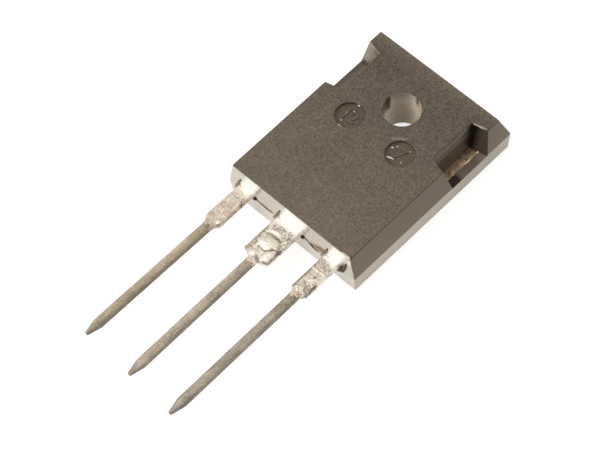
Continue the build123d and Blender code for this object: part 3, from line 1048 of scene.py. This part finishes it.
# %% Painted shade in the root voids, painted edge reflections and flux beside the leads
for lead in leads:
    # Each root void is filled by a dark thread: painted shade.
    void_finish = burnt_flux_and_void_shade if lead != emitter else scorched_flux_and_void_shade
    threads.append(Thread(lead.name + "_void", on_end_face(
        (lead.right + 0.08, 2.34), (lead.right + 0.12, 2.44), (lead.right + 0.15, 2.54),
    ), 0.19, 0.05, void_finish, "solder"))
    low = 1.5 if lead != emitter else 2.1
    # Each dark ridge along a lead's left edge is a painted reflection of that edge.
    threads.append(Thread(lead.name + "_painted_edge_reflection", on_end_face(
        (lead.left - 0.3 * (3.7 - low), low), (lead.left - 0.1, 3.1), (lead.left + 0.22, 3.75),
    ), 0.1, 0.06, edge_reflection_finish, "solder"))
threads += [
    Thread("flux_beside_emitter", on_end_face(
        (5.6, 1.2), (5.85, 1.55), (6.2, 2.0), (6.5, 2.5), (6.7, 3.1), (6.85, 3.9),
    ), 0.14, 0.08, scorched_flux_and_void_shade, "solder"),
    Thread("burnt_beside_emitter", on_end_face(
        (6.3, 2.05), (6.5, 2.3), (6.6, 2.6), deeper=-0.1,
    ), 0.13, 0.05, burnt_flux_and_void_shade, "solder"),
    Thread("flux_on_seam", on_end_face(
        (2.6, 2.3), (3.3, 2.3), (3.9, 2.55), deeper=0.16,
    ), 0.27, 0.1, pale_flux, "solder"),
]
print(len(threads), "threads so far")

# %% Painted glints in the pin marks
painted_glints = [
    [(-3.62, -3.6), (-3.5, -3.52)], [(-3.17, -3.05), (-3.05, -2.98)],
    [(-3.45, -4.52), (-3.32, -4.47)], [(-3.3, -5.0), (-3.05, -5.03), (-2.85, -4.98)],
    [(-3.35, -2.3), (-3.1, -2.24)], [(2.3, -4.6), (2.7, -4.45), (3.05, -4.38)],
    [(2.3, -3.2), (2.42, -3.1)], [(2.02, -3.65), (2.15, -3.42)],
    [(3.52, -2.84), (3.63, -2.8)], [(3.7, -4.22), (3.83, -4.2)],
]
# Each pale bead on a mark's floor is a painted glint.
for number, glint_path in enumerate(painted_glints, 1):
    points = [(*place, pin_mark_floor + 0.045) for place in glint_path]
    name = f"mark_scuff_{number}"
    threads.append(Thread(name, points, 0.065, 0.02, painted_glint_finish, "epoxy_mould"))
print(len(painted_glints), "scuffs, so", len(threads), "threads to lay")

# %% Laying a thread
around_thread = 8
thread_step = 0.04


def thread_centres(points):
    """Evenly spread points along the path, as vectors."""
    places = []
    for start, end in zip(points, points[1:]):
        start, end = Vector(start), Vector(end)
        steps = max(1, round((end - start).length / thread_step))
        places += [start.lerp(end, step / steps) for step in range(steps)]
    return places + [Vector(points[-1])]


def lumpy_thread(thread):
    """A grid wrapped round the thread's path, pinched shut at both ends."""
    centres = thread_centres(thread.points)
    last = len(centres) - 1
    shape = bmesh.new()
    bmesh.ops.create_grid(shape, x_segments=around_thread, y_segments=last, size=0.5)
    for vertex in shape.verts:
        row = round((vertex.co.y + 0.5) * last)
        column = round((vertex.co.x + 0.5) * around_thread) % around_thread
        angle = column / around_thread * math.tau
        centre = centres[row]
        ahead = (centres[min(last, row + 1)] - centres[max(0, row - 1)]).normalized()
        aside = ahead.cross(Vector((0.3, 0.2, 1))).normalized()
        outward = aside * math.cos(angle) + ahead.cross(aside) * math.sin(angle)
        uneven = noise.noise(centre * 5 + outward * 0.8)
        taper = max(0.0, math.sin(math.pi * row / last)) ** 0.5
        vertex.co = centre + outward * (thread.radius + thread.unevenness * uneven) * taper
    bmesh.ops.remove_doubles(shape, verts=shape.verts, dist=thread_step / 40)
    finish_piece(thread.name, shape, thread.material)


for thread in threads:
    lumpy_thread(thread)

# %% [markdown]
# ## Raised digits in the pin marks
# The ejector pins carry a cavity number, so each mark has small raised digits on its floor. They
# are text with a fine rounded edge, made a mesh before it is put in place.


# %% Digits
def raised_digits(name, digits, x):
    """Digits on the floor of the mark whose middle is at x."""
    text = bpy.data.curves.new(name, "FONT")
    text.body = digits
    text.align_x = "CENTER"
    text.align_y = "CENTER"
    text.size = 1.7
    text.extrude = 0.03
    text.bevel_depth = 0.025
    text.bevel_resolution = 2
    holder = bpy.data.objects.new(name, text)
    shape = bmesh.new()
    shape.from_mesh(bpy.data.meshes.new_from_object(holder))
    bpy.data.objects.remove(holder)
    middle = (x, -pin_mark_setback, pin_mark_floor + 0.04)
    bmesh.ops.translate(shape, verts=shape.verts, vec=middle)
    finish_piece(name, shape, epoxy, smooth=False)


raised_digits("left_mark_digits", "12", -pin_mark_spread)
raised_digits("right_mark_digits", "7", pin_mark_spread)

# %% [markdown]
# ## The floor and the light
# The part lies on a white table in a bright studio. The table is a plain diffuse plane that also
# shines a little for the camera and for reflections, so that it stays white and still keeps a soft
# shadow. One soft lamp stands high towards the gate side, a weaker one low in front of the leads,
# and the world fills the rest. The stage is far bigger than the part, so it is given in metres.

# %% Floor
seen_strength = 0.72


def seen_directly(finish):
    """1 for rays that look straight at the surface or by way of a reflection."""
    ways = [
        finish.node("ShaderNodeLightPath", output=name)
        for name in ("Is Camera Ray", "Is Glossy Ray", "Is Transmission Ray")
    ]
    return (ways[0] + ways[1] + ways[2]).clamped()


def white_table():
    finish = Finish("white_table", Base_Color=(0.56, 0.56, 0.555, 1), Roughness=0.9)
    strength = seen_directly(finish) * seen_strength
    glow = finish.node("ShaderNodeEmission", inputs={"Strength": strength})
    plain = Signal(finish, finish.shader.outputs[0])
    both = finish.node("ShaderNodeAddShader", inputs={0: plain, 1: glow})
    output = finish.tree.nodes["Material Output"]
    finish.tree.links.new(both.socket, output.inputs["Surface"])
    return finish.material


floor_half_size = 2
floor_level = cad_low.z - 0.01 * MM
floor_mesh = bpy.data.meshes.new("floor")
shape = bmesh.new()
bmesh.ops.create_grid(shape, x_segments=1, y_segments=1, size=floor_half_size)
bmesh.ops.translate(shape, verts=shape.verts, vec=(0, 0, floor_level))
shape.to_mesh(floor_mesh)
shape.free()
floor = bpy.data.objects.new("floor", floor_mesh)
floor_mesh.materials.append(white_table())
bpy.context.scene.collection.objects.link(floor)
print("floor at", round(floor_level / MM, 2), "mm")

# %% World and lamps
world_level = 0.62


def studio_world():
    """White for the camera and for reflections, and dimmer as a light."""
    world = bpy.data.worlds.new("studio")
    world.use_nodes = True
    tree = world.node_tree
    sky = tree.nodes["Background"]
    path = tree.nodes.new("ShaderNodeLightPath")
    seen = tree.nodes.new("ShaderNodeMath")
    seen.operation = "MAXIMUM"
    tree.links.new(path.outputs["Is Camera Ray"], seen.inputs[0])
    tree.links.new(path.outputs["Is Glossy Ray"], seen.inputs[1])
    level_of = tree.nodes.new("ShaderNodeMapRange")
    level_of.inputs["To Min"].default_value = world_level
    tree.links.new(seen.outputs[0], level_of.inputs["Value"])
    tree.links.new(level_of.outputs[0], sky.inputs["Strength"])
    sky.inputs["Color"].default_value = (1, 0.99, 0.975, 1)
    return world


def soft_lamp(name, direction, reach, size, share):
    """A square lamp that gives a share of the light which makes white look white."""
    lamp = bpy.data.lights.new(name, "AREA")
    lamp.size = size
    lamp.energy = share * math.pi ** 2 * reach ** 2
    lamp_object = bpy.data.objects.new(name, lamp)
    aim = Vector(direction).normalized()
    lamp_object.location = target + aim * reach
    lamp_object.rotation_mode = "QUATERNION"
    lamp_object.rotation_quaternion = aim.to_track_quat("Z", "Y")
    bpy.context.scene.collection.objects.link(lamp_object)


bpy.context.scene.world = studio_world()
soft_lamp("key_lamp", direction=(-0.38, -0.38, 0.84), reach=0.4, size=0.22, share=0.30)
soft_lamp("front_lamp", direction=(-0.15, -0.9, 0.4), reach=0.4, size=0.3, share=0.16)
print("world level", world_level)
